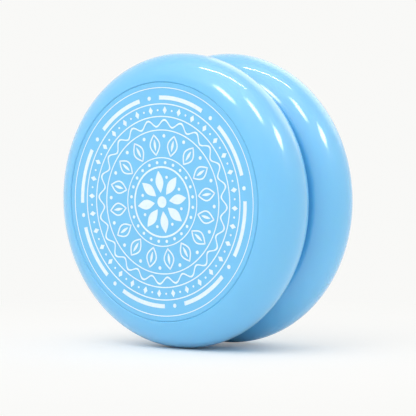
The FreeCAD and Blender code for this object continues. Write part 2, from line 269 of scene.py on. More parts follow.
def feather(data, softness):
    """Lets a lamp's brightness fall off towards its edges: a little for a small softness, all over for 1."""
    data.use_nodes = True
    tree = data.node_tree
    tree.nodes.clear()
    place = add_node(tree, "ShaderNodeNewGeometry").outputs["Parametric"]
    rest = add_node(tree, "ShaderNodeVectorMath", {0: (1, 1, 1), 1: place}, operation="SUBTRACT")
    hump = add_node(tree, "ShaderNodeVectorMath", {0: place, 1: rest.outputs[0]}, operation="MULTIPLY")
    sides = add_node(tree, "ShaderNodeSeparateXYZ", {0: hump.outputs[0]})
    both = add_product(tree, sides.outputs[0], sides.outputs[1])
    level = add_node(tree, "ShaderNodeMapRange", {"Value": both, "From Min": 0.0,
                                                 "From Max": softness * PEAK},
                     interpolation_type="SMOOTHSTEP")
    light = add_node(tree, "ShaderNodeEmission", {"Strength": level.outputs[0]})
    output = add_node(tree, "ShaderNodeOutputLight")
    tree.links.new(light.outputs[0], output.inputs["Surface"])


def towards(direction):
    """A direction seen from the camera, as one in the scene."""
    right, up, back = Vector(direction).normalized()
    return right * camera_right + up * camera_up + back * camera_back


def add_lamp(name, start, end, width, radiance, distance, softness=None):
    """A long lamp from one direction to another, turned to face the yo-yo."""
    first = CENTRE + distance * towards(start)
    last = CENTRE + distance * towards(end)
    middle = (first + last) / 2
    outwards = (middle - CENTRE).normalized()
    along = (last - first).normalized()
    data = bpy.data.lights.new(name, "AREA")
    data.shape = "RECTANGLE"
    data.size = (last - first).length
    data.size_y = width
    data.energy = radiance * math.pi * data.size * data.size_y
    if softness:
        feather(data, softness)
    lamp = bpy.data.objects.new(name, data)
    turn = Matrix((along, outwards.cross(along), outwards)).transposed()
    lamp.matrix_world = Matrix.Translation(middle) @ turn.to_4x4()
    bpy.context.scene.collection.objects.link(lamp)
    print(name, [round(side, 3) for side in (data.size, data.size_y)], "m,", round(data.energy, 2), "W")
    return lamp


print("a lamp's directions are turned by", round(math.degrees(AZIMUTH), 2), "degrees, as the camera is")

# %% [markdown]
# Two kinds of lamp are needed. The strips make the sharp highlights, and only reflections see them,
# so that they don't add light. The softboxes shade the round forms, and two of them are kept out of
# reflections, where they would draw a pale band on the rims.

# %% Lamps
STRIP_DISTANCE = 0.9
SOFTBOX_DISTANCE = 1.1


def add_strip(name, start, end, width, radiance, softness=None):
    """A narrow lamp that only reflections show, so its highlight can be bright and the light stays even."""
    add_lamp(name, start, end, width, radiance, STRIP_DISTANCE, softness).visible_diffuse = False


def add_softbox(name, start, end, width, radiance, softness, mirrored=True):
    """A large soft lamp, which may be left out of reflections."""
    add_lamp(name, start, end, width, radiance, SOFTBOX_DISTANCE, softness).visible_glossy = mirrored


add_strip("strip_overhead", (-0.32, 0.95, -0.08), (0.28, 0.95, 0.01), width=0.022, radiance=32)
add_strip("strip_left", (-0.52, 0.76, 0.37), (-0.38, 0.66, 0.64), width=0.20, radiance=15, softness=1)
add_strip("strip_middle", (0.07, 0.92, 0.36), (0.28, 0.72, 0.64), width=0.20, radiance=15, softness=1)
add_strip("strip_right", (0.65, 0.71, 0.22), (0.68, 0.53, 0.52), width=0.25, radiance=16, softness=1)
add_softbox("softbox_above", (-0.85, 0.50, 0.12), (0.45, 0.89, 0.08), width=0.8, radiance=0.45, softness=0.5)
add_softbox("softbox_behind", (0.00, 0.60, -0.80), (0.85, 0.45, -0.50), width=0.7, radiance=0.8, softness=0.5)
add_softbox("softbox_front", (-0.75, 0.75, 0.40), (0.00, 0.85, 0.75), width=0.8, radiance=2.5, softness=0.5,
            mirrored=False)
add_softbox("softbox_right", (0.80, 0.35, 0.50), (0.95, 0.35, -0.20), width=0.7, radiance=0.8, softness=0.8,
            mirrored=False)

# %% [markdown]
# No real surface is the same all over, and a material with one colour and one gloss looks like a
# toy render. Painted textures could bring in the unevenness. Noise that lies on the piece itself
# needs no unwrapping, so the materials below get their tone, their gloss and most of their relief
# from noise.

# %% Uneven surfaces
def surface(name, colour, values):
    """A material on the Principled shader, with values on its own sockets."""
    material, tree, output = new_material(name)
    shader = add_node(tree, "ShaderNodeBsdfPrincipled", {"Base Color": (*colour, 1), **values})
    tree.links.new(shader.outputs[0], output.inputs["Surface"])
    return material, tree, shader


def noise(tree, scale, detail=2.0):
    """A noise pattern on the piece, with features about 1/scale metres wide."""
    place = add_node(tree, "ShaderNodeTexCoord")
    return add_node(tree, "ShaderNodeTexNoise", {"Vector": place.outputs["Object"], "Scale": scale,
                                                 "Detail": detail})


def vary_roughness(tree, shader, scale, low, high):
    """Gloss that differs a little from place to place."""
    pattern = noise(tree, scale, 4.0)
    spread = add_node(tree, "ShaderNodeMapRange", {"Value": pattern.outputs["Fac"], "From Min": 0.3,
                                                  "From Max": 0.7, "To Min": low, "To Max": high})
    tree.links.new(spread.outputs[0], shader.inputs["Roughness"])


def vary_colour(tree, shader, scale, dark, light):
    """Two close tones of the colour, mixed by a soft noise."""
    pattern = noise(tree, scale)
    mix = add_node(tree, "ShaderNodeMix", {0: pattern.outputs["Fac"], 6: (*dark, 1), 7: (*light, 1)},
                   data_type="RGBA")
    tree.links.new(mix.outputs[2], shader.inputs["Base Color"])


def add_bump(tree, shader, pattern, depth):
    """Relief from a pattern, some depth in metres deep."""
    bump = add_node(tree, "ShaderNodeBump", {"Height": pattern.outputs["Fac"], "Distance": depth})
    tree.links.new(bump.outputs[0], shader.inputs["Normal"])


print("a noise of scale 260 has features about", round(1 / 260 / MM, 1), "mm wide")

# %% [markdown]
# The halves and caps are moulded in a glossy sky-blue plastic. One glossy layer shows either sharp
# highlights or a soft sheen, and moulded plastic has both, so a hazy body lies under a sharp clear
# coat, and a little light goes into it. The gloss varies slightly, the surface keeps a faint ripple
# from the mould, and the colour shifts a little from place to place. The cap's coat is duller.

# %% Moulded plastic
BLUE = (0.132, 0.530, 0.875)
BLUE_DARK = (0.127, 0.520, 0.865)


def moulded_plastic(name, gloss):
    """Glossy moulded plastic: a hazy body under a clear skin, with a faint ripple and uneven gloss."""
    material, tree, shader = surface(name, BLUE, {
        "IOR": 1.5, "Specular IOR Level": 0.8, "Coat Weight": 1.0, "Coat Roughness": gloss, "Coat IOR": 1.55,
        "Subsurface Weight": 0.3, "Subsurface Scale": 0.0006, "Subsurface Radius": (0.25, 0.6, 1.0)})
    vary_colour(tree, shader, 70.0, BLUE_DARK, BLUE)
    vary_roughness(tree, shader, 1500.0, 0.42, 0.48)
    add_bump(tree, shader, noise(tree, 260.0, 3.0), 0.000003)
    return material


shell_plastic = moulded_plastic("sky_blue_shell", gloss=0.04)
cap_plastic = moulded_plastic("sky_blue_cap", gloss=0.09)
print("made", shell_plastic.name, "and", cap_plastic.name)

# %% [markdown]
# A yo-yo is almost all lathe work in shape, even where it is moulded. A section is drawn with a
# pen: straight lines by adding a vertex, and round corners by spinning the last vertex about the
# corner's centre. One full spin of the section round the axis then makes the piece, and merged
# doubles close its seam.

# %% Drawing a section and turning it
TURN_STEPS = 192
SAME_PLACE = 1e-7


def draw_line(bm, pen, radius, out):
    """A straight line of the section, from the pen's last point."""
    pen.append(bm.verts.new((radius, out, 0)))
    if len(pen) > 1:
        bm.edges.new(pen[-2:])


def draw_arc(bm, pen, centre, degrees, steps):
    """A round part of the section: the last point, spun about a centre, counter-clockwise if positive."""
    made = bmesh.ops.spin(bm, geom=[pen[-1]], cent=(*centre, 0), axis=(0, 0, 1), dvec=(0, 0, 0),
                          angle=math.radians(degrees), steps=steps, use_merge=False, use_duplicate=False)
    pen.append(made["geom_last"][0])


def draw_lines(bm, pen, points):
    """A run of straight lines through (radius, out) points."""
    for radius, out in points:
        draw_line(bm, pen, radius, out)


def draw_ring(bm, points, corner):
    """A closed section, with its corners rounded."""
    face = bm.faces.new([bm.verts.new((radius, out, 0)) for radius, out in points])
    bmesh.ops.bevel(bm, geom=list(face.verts), affect="VERTICES", offset=corner, segments=3,
                    profile=0.5, material=-1, clamp_overlap=True)
    bmesh.ops.delete(bm, geom=bm.faces[:], context="FACES_ONLY")


def turn_section(bm):
    """Everything drawn so far, spun once round the axis, with its seam and its poles closed."""
    bmesh.ops.spin(bm, geom=bm.verts[:] + bm.edges[:], cent=ORIGIN, axis=AXIS, dvec=(0, 0, 0),
                   angle=2 * math.pi, steps=TURN_STEPS, use_merge=True, use_duplicate=False)
    bmesh.ops.remove_doubles(bm, verts=bm.verts, dist=SAME_PLACE)


def repeat_round(bm, verts, count, axis=AXIS):
    """Copies of a shape, given by its vertices, evenly spaced round an axis."""
    edges = dict.fromkeys(edge for vert in verts for edge in vert.link_edges)
    faces = dict.fromkeys(face for vert in verts for face in vert.link_faces)
    turn = 2 * math.pi * (count - 1) / count
    bmesh.ops.spin(bm, geom=[*verts, *edges, *faces], cent=ORIGIN, axis=axis, dvec=(0, 0, 0),
                   angle=turn, steps=count - 1, use_merge=False, use_duplicate=True)


print("a full turn has", TURN_STEPS, "steps")

# %% [markdown]
# Every piece ends in the same way, so that is one function. Spinning can turn a mesh inside out, so
# its normals are worked out again. Smooth shading between sharp edges does for a turned piece what
# a Subdivision Surface would do with many more faces. A front piece is the rear one, turned half
# round. It is then hung under the body it moves with, and the solid it stands for, if any, is hidden.

# %% Finishing a piece
BODY_OF = {node: body for body, nodes in frame["record"]["behaviour"]["bodies"].items() for node in nodes}
print("moving bodies:", sorted(set(BODY_OF.values())))


def finish_piece(bm, name, material, node, sharp=28, facing="rear", stands_for=True):
    """Makes the object: facing outwards, smooth between sharp edges, and moving as its CAD node does."""
    if facing == "front":
        bmesh.ops.rotate(bm, verts=bm.verts, cent=ORIGIN, matrix=Matrix.Rotation(math.pi, 3, "Z"))
    bmesh.ops.recalc_face_normals(bm, faces=bm.faces)
    mesh = bpy.data.meshes.new(name)
    bm.to_mesh(mesh)
    bm.free()
    mesh.shade_smooth()
    mesh.set_sharp_from_angle(angle=math.radians(sharp))
    mesh.materials.append(material)
    piece = bpy.data.objects.new(name, mesh)
    bpy.context.scene.collection.objects.link(piece)
    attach(piece, BODY_OF[node])
    if stands_for:
        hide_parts(node)
    print(name, "has", len(mesh.polygons), "faces")


# %% [markdown]
# Each half is one moulding: the round rim, the catch wall that the string runs against, and a
# hub with ribs behind the cap. A cylinder with loop cuts could be pushed into shape, but the rim
# is a true circle in section, so its section is drawn as arcs. Two mouldings of the same tool are
# the same shape, and the front one is turned to face the other way.

# %% Sizes of a half
shell_low, shell_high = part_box("rear_shell")
RIM_EDGE = shell_high.y
HALF_GAP = shell_low.y
RIM_ROUND = 6.6 * MM
RIM_PLANE = HALF_GAP + RIM_ROUND - 0.65 * MM
RIM_CENTRE = RADIUS - RIM_ROUND
EDGE_BREAK = 0.17 * MM
CATCH_FILLET = 2.0 * MM
SEAT_RADIUS = RADIUS - 5.5 * MM
CAVITY_RADIUS = SEAT_RADIUS - 2.1 * MM
CAVITY_CHAMFER = 1.4 * MM
CAP_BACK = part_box("rear_cap")[1].y - 1.6 * MM
FLOOR_TOP = HALF_GAP + 2.0 * MM
AXLE_HOLE = 2.15 * MM
SPACER_HOLE = 3.93 * MM
SPACER_SEAT = 4.19 * MM
BEARING_POCKET = 6.55 * MM
BEARING_POCKET_FLOOR = 1.84 * MM
PAD_RECESS_INNER = 7.25 * MM
PAD_RECESS_OUTER = 9.6 * MM
PAD_RECESS_FLOOR = HALF_GAP + 1.1 * MM
FLANGE_RADIUS = 10.9 * MM
FLANGE_TOP = FLOOR_TOP + 1.6 * MM
HUB_RADIUS = 6.3 * MM
HUB_TOP = 9.8 * MM
HUB_FOOT = 0.8 * MM
HUB_LIP = 5.0 * MM
NUT_SEAT = 5.8 * MM
NUT_POCKET = 7.08 * MM
print("rim edge", round(RIM_EDGE / MM, 3), "cap back", round(CAP_BACK / MM, 3))

# %% [markdown]
# The section is drawn in one go: from the axle's hole over the spacer's hole and the bearing's
# pocket, along the catch wall with the response pad's recess, round the rim, and back through the
# cap's seat and the hollow to the hub. Only the nut's pocket isn't round, so it is added later.

# %% Section of a half
def draw_rim(bm, pen):
    """Catch wall to cap seat: a fillet, then the round of the rim."""
    across = math.sqrt((RIM_ROUND - CATCH_FILLET) ** 2 - (RIM_PLANE - HALF_GAP - CATCH_FILLET) ** 2)
    fillet = Vector((RIM_CENTRE + across, HALF_GAP + CATCH_FILLET))
    centre = Vector((RIM_CENTRE, RIM_PLANE))
    outwards = fillet - centre
    meeting = math.atan2(outwards.y, outwards.x)
    rim_end = math.asin((RIM_EDGE - RIM_PLANE) / RIM_ROUND)
    draw_line(bm, pen, fillet.x, HALF_GAP)
    draw_arc(bm, pen, fillet, 90 + math.degrees(meeting), 8)
    draw_arc(bm, pen, centre, math.degrees(rim_end - meeting), 40)


def draw_half(bm):
    """A half's section, from the nut pocket's floor to the top of the hub."""
    pen = []
    draw_lines(bm, pen, [(AXLE_HOLE, NUT_SEAT), (AXLE_HOLE, SPACER_SEAT), (SPACER_HOLE, SPACER_SEAT),
                         (SPACER_HOLE, BEARING_POCKET_FLOOR), (BEARING_POCKET, BEARING_POCKET_FLOOR),
                         (BEARING_POCKET, HALF_GAP), (PAD_RECESS_INNER, HALF_GAP),
                         (PAD_RECESS_INNER, PAD_RECESS_FLOOR), (PAD_RECESS_OUTER, PAD_RECESS_FLOOR),
                         (PAD_RECESS_OUTER, HALF_GAP)])
    draw_rim(bm, pen)
    draw_lines(bm, pen, [(SEAT_RADIUS, RIM_EDGE - EDGE_BREAK), (SEAT_RADIUS, CAP_BACK),
                         (CAVITY_RADIUS, CAP_BACK), (CAVITY_RADIUS, FLOOR_TOP + CAVITY_CHAMFER),
                         (CAVITY_RADIUS - CAVITY_CHAMFER, FLOOR_TOP), (FLANGE_RADIUS, FLOOR_TOP),
                         (FLANGE_RADIUS, FLANGE_TOP), (HUB_RADIUS + HUB_FOOT, FLANGE_TOP)])
    draw_arc(bm, pen, (HUB_RADIUS + HUB_FOOT, FLANGE_TOP + HUB_FOOT), -90, 5)
    draw_lines(bm, pen, [(HUB_RADIUS, HUB_TOP), (HUB_LIP, HUB_TOP)])


print("a half's moulding is", round((RIM_EDGE - HALF_GAP) / MM, 2), "mm deep")

# %% [markdown]
# The nut sits in a six-sided pocket, so that it can't turn. A Boolean would cut it and leave messy
# faces. Bridging a circle to a hexagon can join the wrong points and twist. So the hole's open ring
# is extruded, and each new point slides along its own radius to the hexagon's side: first at the
# pocket's floor, then at the top of the hub, and last out to the hub's lip.

# %% Nut pocket
def circle(angle):
    """How far a circle lies from the middle, as a share of its width."""
    return 0.5


def hexagon(angle):
    """How far a hexagon's side lies from the middle, as a share of its width across the flats."""
    return 0.5 / math.cos((angle + math.pi / 6) % (math.pi / 3) - math.pi / 6)


def open_edges(bm, belongs):
    """The edges with a single face and both ends in the ring that is wanted."""
    single = [edge for edge in bm.edges if len(edge.link_faces) == 1]
    return [edge for edge in single if all(belongs(vert) for vert in edge.verts)]


def grow_ring(bm, ring, shape, width, out):
    """A ring's edges, extruded and moved to a circle or a hexagon round the axis. Returns the new edges."""
    made = bmesh.ops.extrude_edge_only(bm, edges=ring)["geom"]
    moved = {vert for vert in made if isinstance(vert, bmesh.types.BMVert)}
    for vert in moved:
        angle = math.atan2(vert.co.z, vert.co.x)
        reach = width * shape(angle)
        vert.co = (reach * math.cos(angle), out, reach * math.sin(angle))
    return open_edges(bm, lambda vert: vert in moved)


def ring_at(bm, radius, out):
    """The edges of the open ring at one radius and height."""
    def on_ring(vert):
        off_radius = abs(math.hypot(vert.co.x, vert.co.z) - radius)
        return abs(vert.co.y - out) < SAME_PLACE and off_radius < SAME_PLACE
    return open_edges(bm, on_ring)


def add_nut_pocket(bm):
    """The six-sided pocket, closed to the turned hub at its lip."""
    low = grow_ring(bm, ring_at(bm, AXLE_HOLE, NUT_SEAT), hexagon, NUT_POCKET, NUT_SEAT)
    high = grow_ring(bm, low, hexagon, NUT_POCKET, HUB_TOP)
    grow_ring(bm, high, circle, 2 * HUB_LIP, HUB_TOP)
    bmesh.ops.remove_doubles(bm, verts=bm.verts, dist=10 * SAME_PLACE)


print("a nut pocket is", round(NUT_POCKET / MM, 2), "mm across its flats")

# %% [markdown]
# Ribs stiffen the hollow behind the cap. Each starts as a cube whose far end is lowered, and its
# edges are bevelled as a mould would round them. Only one is made: a spin that duplicates without
# joining puts the others evenly round the hub.

# %% Ribs and the two halves
RIB_INNER = 5.9 * MM
RIB_OUTER = 21.3 * MM
RIB_LOW = 2.85 * MM
RIB_TOP_AT_RIM = 5.4 * MM
RIB_TOP_AT_HUB = 7.9 * MM
RIB_THICKNESS = 1.2 * MM
RIB_COUNT = 10
RIB_EDGE = 0.12 * MM


def add_rib(bm, inner, outer, low, high_outer, high_inner, thickness):
    """A flat rib along +X, whose top may slope from one end to the other. Returns its vertices."""
    made = bmesh.ops.create_cube(bm, size=1)["verts"]
    for vert in made:
        far = vert.co.x > 0
        top = high_outer if far else high_inner
        vert.co = (outer if far else inner, top if vert.co.y > 0 else low, vert.co.z * thickness)
    edges = list(dict.fromkeys(edge for vert in made for edge in vert.link_edges))
    rounded = bmesh.ops.bevel(bm, geom=edges, affect="EDGES", offset=RIB_EDGE, offset_type="OFFSET",
                              segments=2, profile=0.5, material=-1, clamp_overlap=True)
    return list(dict.fromkeys(vert for face in rounded["faces"] for vert in face.verts))


def make_half(name, node, facing):
    """One moulded half."""
    bm = bmesh.new()
    draw_half(bm)
    turn_section(bm)
    add_nut_pocket(bm)
    rib = add_rib(bm, RIB_INNER, RIB_OUTER, RIB_LOW, RIB_TOP_AT_RIM, RIB_TOP_AT_HUB, RIB_THICKNESS)
    repeat_round(bm, rib, RIB_COUNT)
    finish_piece(bm, name, shell_plastic, node, facing=facing)


make_half("rear_moulded_half", "rear_shell", "rear")
make_half("front_moulded_half", "front_shell", "front")

# %% [markdown]
# The cap is a disc that snaps into the rim. Its flat face carries the print, and behind it are a
# skirt with a small bead, a ring and stiffening ribs. It is turned from one section that starts
# and ends on the axis, so the two poles close when doubles merge.

# %% Caps
CAP_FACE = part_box("rear_cap")[1].y
CAP_RADIUS = SEAT_RADIUS - 0.006 * MM      # almost tight, so the groove shows as a fine line
CAP_EDGE = 0.25 * MM
SKIRT_OUTER = CAVITY_RADIUS - 0.08 * MM
SKIRT_INNER = SKIRT_OUTER - 1.1 * MM
SKIRT_END = CAP_BACK - 3.2 * MM
BEAD_RADIUS = SKIRT_OUTER + 0.28 * MM
BEAD_START = SKIRT_END + 0.5 * MM
BEAD_END = BEAD_START + 0.9 * MM
BEAD_SLOPE = 0.28 * MM
BOSS_OUTER = 7.6 * MM
BOSS_INNER = 6.6 * MM
CAP_RIB_END = CAP_BACK - 0.9 * MM
CAP_RIB_SUNK = 0.8 * MM                    # how far a rib runs into the disc
CAP_RIB_INNER = 7.1 * MM
CAP_RIB_OUTER = 20.2 * MM
CAP_RIB_THICKNESS = 0.9 * MM
CAP_RIB_COUNT = 12


def draw_cap(bm):
    """The cap's section, from the middle of its face round to the middle of its back."""
    pen = []
    draw_lines(bm, pen, [(0, CAP_FACE), (CAP_RADIUS - CAP_EDGE, CAP_FACE)])
    draw_arc(bm, pen, (CAP_RADIUS - CAP_EDGE, CAP_FACE - CAP_EDGE), -90, 5)
    draw_lines(bm, pen, [(CAP_RADIUS, CAP_BACK), (SKIRT_OUTER, CAP_BACK), (SKIRT_OUTER, BEAD_END),
                         (BEAD_RADIUS, BEAD_END - BEAD_SLOPE), (BEAD_RADIUS, BEAD_START + BEAD_SLOPE),
                         (SKIRT_OUTER, BEAD_START), (SKIRT_OUTER, SKIRT_END), (SKIRT_INNER, SKIRT_END),
                         (SKIRT_INNER, CAP_BACK), (BOSS_OUTER, CAP_BACK), (BOSS_OUTER, CAP_RIB_END),
                         (BOSS_INNER, CAP_RIB_END), (BOSS_INNER, CAP_BACK), (0, CAP_BACK)])


def make_cap(name, node, facing):
    """One snap-in cap."""
    bm = bmesh.new()
    draw_cap(bm)
    turn_section(bm)
    sunk = CAP_BACK + CAP_RIB_SUNK
    rib = add_rib(bm, CAP_RIB_INNER, CAP_RIB_OUTER, CAP_RIB_END, sunk, sunk, CAP_RIB_THICKNESS)
    repeat_round(bm, rib, CAP_RIB_COUNT)
    finish_piece(bm, name, cap_plastic, node, facing=facing)


make_cap("rear_snap_cap", "rear_cap", "rear")
make_cap("front_snap_cap", "front_cap", "front")

# %% [markdown]
# The caps are pad-printed in white: a centred rosette of petals, leaves, dots, waves and rings.
# An image texture is the quick way to print, but these shapes are drawn as thin ink meshes, a
# hundredth of a millimetre or two thick, so they stay sharp at any distance. The design is laid
# out flat, as on paper, and turned onto the cap at the end.

# %% Drawing on paper
PAPER_UP = (0, 0, 1)


def paper_ring(bm, radius, width, degrees=360, steps=TURN_STEPS, start=0):
    """A ring, or part of one, as a line of some width."""
    first = math.radians(start)
    ends = [bm.verts.new((reach * math.cos(first), reach * math.sin(first), 0))
            for reach in (radius - width / 2, radius + width / 2)]
    bmesh.ops.spin(bm, geom=[*ends, bm.edges.new(ends)], cent=ORIGIN, axis=PAPER_UP, dvec=(0, 0, 0),
                   angle=math.radians(degrees), steps=steps, use_merge=degrees == 360, use_duplicate=False)


def paper_shape(bm, radius, points, length, width, angle=0.0):
    """A filled shape on the +X side: a circle of few or many points, stretched to a length and a width."""
    place = Matrix.Translation((radius, 0, 0)) @ Matrix.Diagonal((length / 2, width / 2, 1, 1))
    turned = Matrix.Rotation(math.radians(angle), 4, "Z") @ place
    verts = bmesh.ops.create_circle(bm, cap_ends=True, segments=points, radius=1, matrix=turned)["verts"]
    return verts[0].link_faces[0]


def paper_round(bm, faces, count):
    """Shapes, repeated round the middle."""
    repeat_round(bm, list(dict.fromkeys(vert for face in faces for vert in face.verts)), count, PAPER_UP)


def pointed(face, sharpness):
    """Draws the sides of a long shape in towards its two ends, as on a leaf."""
    xs = [vert.co.x for vert in face.verts]
    middle, half = (max(xs) + min(xs)) / 2, (max(xs) - min(xs)) / 2
    for vert in face.verts:
        vert.co.y *= 1 - sharpness * abs((vert.co.x - middle) / half) ** 2


def outline_only(bm, face, line):
    """Keeps a band along the shape's edge as a line, opens its middle, and returns the band."""
    band = bmesh.ops.inset_individual(bm, faces=[face], thickness=line, use_even_offset=True)["faces"]
    bmesh.ops.delete(bm, geom=[face], context="FACES_ONLY")
    return band


print("paper rings have", TURN_STEPS, "steps, as the turned pieces have")

# %% [markdown]
# The design runs outwards in four bands, and the inner two are a rosette and a row of leaves. Each
# shape is drawn once and then repeated round the middle, so the print is centred whatever is
# changed. A leaf begins as a long oval whose sides are drawn in towards its ends, and insetting it
# leaves its outline.

# %% Rosette and leaves
FINE_LINE = 0.22 * MM
PETALS = 8
LEAVES = 16


def paper_dot(bm, radius, points, width, angle=0.0):
    """A round dot, off the middle by a radius."""
    return paper_shape(bm, radius, points, width, width, angle)


def draw_rosette(bm):
    """Eight petals round a dot, inside a ring of dots."""
    paper_dot(bm, 0, 32, 2.2 * MM)
    petal = paper_shape(bm, 3.9 * MM, 32, length=4.2 * MM, width=1.9 * MM)
    pointed(petal, 0.75)
    paper_round(bm, [petal], PETALS)
    seed = paper_dot(bm, 4.9 * MM, 16, 0.6 * MM, angle=180 / PETALS)
    paper_round(bm, [seed], PETALS)
    paper_ring(bm, 6.7 * MM, 0.35 * MM)
    dot = paper_dot(bm, 7.6 * MM, 16, 0.62 * MM)
    paper_round(bm, [dot], 3 * PETALS)
    paper_ring(bm, 8.5 * MM, 0.2 * MM)


def draw_leaves(bm):
    """Sixteen leaves, each a line drawing with a filled heart."""
    heart = paper_shape(bm, 11.0 * MM, 24, length=2.2 * MM, width=0.55 * MM)
    pointed(heart, 0.6)
    paper_round(bm, [heart], LEAVES)
    leaf = paper_shape(bm, 11.0 * MM, 40, length=4.2 * MM, width=2.6 * MM)
    pointed(leaf, 0.7)
    paper_round(bm, outline_only(bm, leaf, 0.28 * MM), LEAVES)
    berry = paper_dot(bm, 12.7 * MM, 16, 0.7 * MM, angle=180 / LEAVES)
    paper_round(bm, [berry], LEAVES)
    paper_ring(bm, 13.8 * MM, FINE_LINE)


print("a rosette of", PETALS, "petals and a row of", LEAVES, "leaves")

# %% [markdown]
# The outer two bands are a wave with diamonds and a broken border. A curve with a modifier could
# make the wave. Here it is a plain ring whose points are pushed out and in by a sine of their
# angle. A circle of only four points makes a diamond.

# %% Waves and border
DIAMONDS = 32
DASHES = 8
WAVES = 24
WAVE_RADIUS = 15.1 * MM
WAVE_SWING = 0.043           # as a share of its radius


def draw_waves(bm):
    """A wavy line between two rings, and a row of diamonds and dots outside it."""
    paper_ring(bm, WAVE_RADIUS, 0.34 * MM, steps=2 * TURN_STEPS)
    wavy = [vert for vert in bm.verts if abs(vert.co.length - WAVE_RADIUS) < 0.5 * MM]
    for vert in wavy:
        angle = math.atan2(vert.co.y, vert.co.x)
        vert.co *= 1 + WAVE_SWING * math.sin(WAVES * angle)
    paper_ring(bm, 16.4 * MM, FINE_LINE)
    diamond = paper_shape(bm, 17.6 * MM, 4, length=1.5 * MM, width=1.0 * MM)
    paper_round(bm, [diamond], DIAMONDS)
    dot = paper_dot(bm, 17.6 * MM, 12, 0.42 * MM, angle=180 / DIAMONDS)
    paper_round(bm, [dot], DIAMONDS)
    paper_ring(bm, 18.8 * MM, FINE_LINE)


def draw_border(bm):
    """Broken bands near the edge and a hairline round them."""
    for number in range(DASHES):
        angle = 360 / DASHES * number
        paper_ring(bm, 20.0 * MM, 0.8 * MM, degrees=31, steps=20, start=angle + 7)
        paper_dot(bm, 20.0 * MM, 16, 0.8 * MM, angle)
    paper_ring(bm, 21.9 * MM, 0.16 * MM)


print("a wave of", WAVES, "crests and", DIAMONDS, "diamonds")

# %% [markdown]
# The flat drawing is extruded to the ink's thickness and set on the cap's face, so it catches the
# light as a raised layer of ink does. Ink from a pad is never quite even, and its tone and gloss
# vary a little.

# %% Printing the caps
INK = 0.018 * MM
PRINT_TURN = math.radians(9)


def make_print(name, node, facing, material):
    """The whole print as one thin piece of ink on a cap's face."""
    bm = bmesh.new()
    draw_rosette(bm)
    draw_leaves(bm)
    draw_waves(bm)
    draw_border(bm)
    bmesh.ops.remove_doubles(bm, verts=bm.verts, dist=SAME_PLACE)
    bmesh.ops.rotate(bm, verts=bm.verts, cent=ORIGIN, matrix=Matrix.Rotation(PRINT_TURN, 3, "Z"))
    made = bmesh.ops.extrude_face_region(bm, geom=bm.faces[:])["geom"]
    top = [vert for vert in made if isinstance(vert, bmesh.types.BMVert)]
    bmesh.ops.translate(bm, verts=top, vec=(0, 0, INK))
    bmesh.ops.rotate(bm, verts=bm.verts, cent=ORIGIN, matrix=Matrix.Rotation(-math.pi / 2, 3, "X"))
    bmesh.ops.translate(bm, verts=bm.verts, vec=(0, CAP_FACE, 0))
    finish_piece(bm, name, material, node, sharp=35, facing=facing, stands_for=False)


ink, ink_tree, ink_shader = surface("white_ink", (0.75, 0.86, 0.96), {"IOR": 1.45})
vary_colour(ink_tree, ink_shader, 900.0, (0.68, 0.82, 0.95), (0.80, 0.90, 0.98))
vary_roughness(ink_tree, ink_shader, 2500.0, 0.22, 0.4)
add_bump(ink_tree, ink_shader, noise(ink_tree, 6000.0), 0.000004)
make_print("rear_cap_print", "rear_cap", "rear", ink)
make_print("front_cap_print", "front_cap", "front", ink)

# %% [markdown]
# The metal pieces hide in the middle, and show when the yo-yo is unscrewed. Real metal looks like
# metal through its tool marks: turned faces carry fine rings round the axis, and plated or
# blackened steel has an uneven gloss. A ring-shaped wave pattern gives the turned marks.

# %% Metals and silicone
def metal(name, dark, light, low, high, rings=0.0):
    """A metal with two close tones and uneven gloss, and turning marks if rings gives their depth."""
    material, tree, shader = surface(name, light, {"Metallic": 1.0})
    vary_colour(tree, shader, 800.0, dark, light)
    vary_roughness(tree, shader, 2600.0, low, high)
    if rings:
        place = add_node(tree, "ShaderNodeTexCoord")
        marks = add_node(tree, "ShaderNodeTexWave", {"Vector": place.outputs["Object"], "Scale": 1700.0,
                                                     "Distortion": 1.5, "Detail": 2.0, "Detail Scale": 4.0},
                         wave_type="RINGS", rings_direction="Y")
        add_bump(tree, shader, marks, rings)
    else:
        add_bump(tree, shader, noise(tree, 3500.0, 3.0), 0.000003)
    return material


turned_aluminium = metal("turned_aluminium", (0.78, 0.79, 0.80), (0.86, 0.87, 0.88), 0.22, 0.32, 0.000004)
bearing_steel = metal("bearing_steel", (0.52, 0.52, 0.53), (0.60, 0.60, 0.61), 0.14, 0.24, 0.000002)
ball_chrome = metal("ball_chrome", (0.70, 0.70, 0.71), (0.78, 0.78, 0.79), 0.04, 0.09)
cage_brass = metal("cage_brass", (0.72, 0.47, 0.18), (0.83, 0.58, 0.26), 0.24, 0.38)
zinc_steel = metal("zinc_steel", (0.58, 0.60, 0.62), (0.70, 0.71, 0.72), 0.24, 0.40)
black_steel = metal("black_steel", (0.030, 0.030, 0.034), (0.060, 0.060, 0.065), 0.30, 0.45)

silicone, silicone_tree, silicone_shader = surface("silicone", (0.80, 0.83, 0.86), {
    "IOR": 1.41, "Subsurface Weight": 0.3, "Subsurface Scale": 0.001})
vary_colour(silicone_tree, silicone_shader, 500.0, (0.76, 0.79, 0.82), (0.83, 0.86, 0.88))
vary_roughness(silicone_tree, silicone_shader, 3000.0, 0.42, 0.6)
add_bump(silicone_tree, silicone_shader, noise(silicone_tree, 4000.0, 3.0), 0.000008)
print("materials by now:", len(bpy.data.materials))

# %% [markdown]
# Each half has a silicone ring that grips the string, and a turned aluminium spacer that the
# bearing sits on. Both are simple rings. Their sections are closed shapes whose corners are
# bevelled before the spin, which is easier than bevelling a finished ring.

# %% Response pads and spacers
def make_ring(name, node, points, material, facing, corner):
    """One turned ring from its section."""
    bm = bmesh.new()
    draw_ring(bm, points, corner)
    turn_section(bm)
    finish_piece(bm, name, material, node, facing=facing)


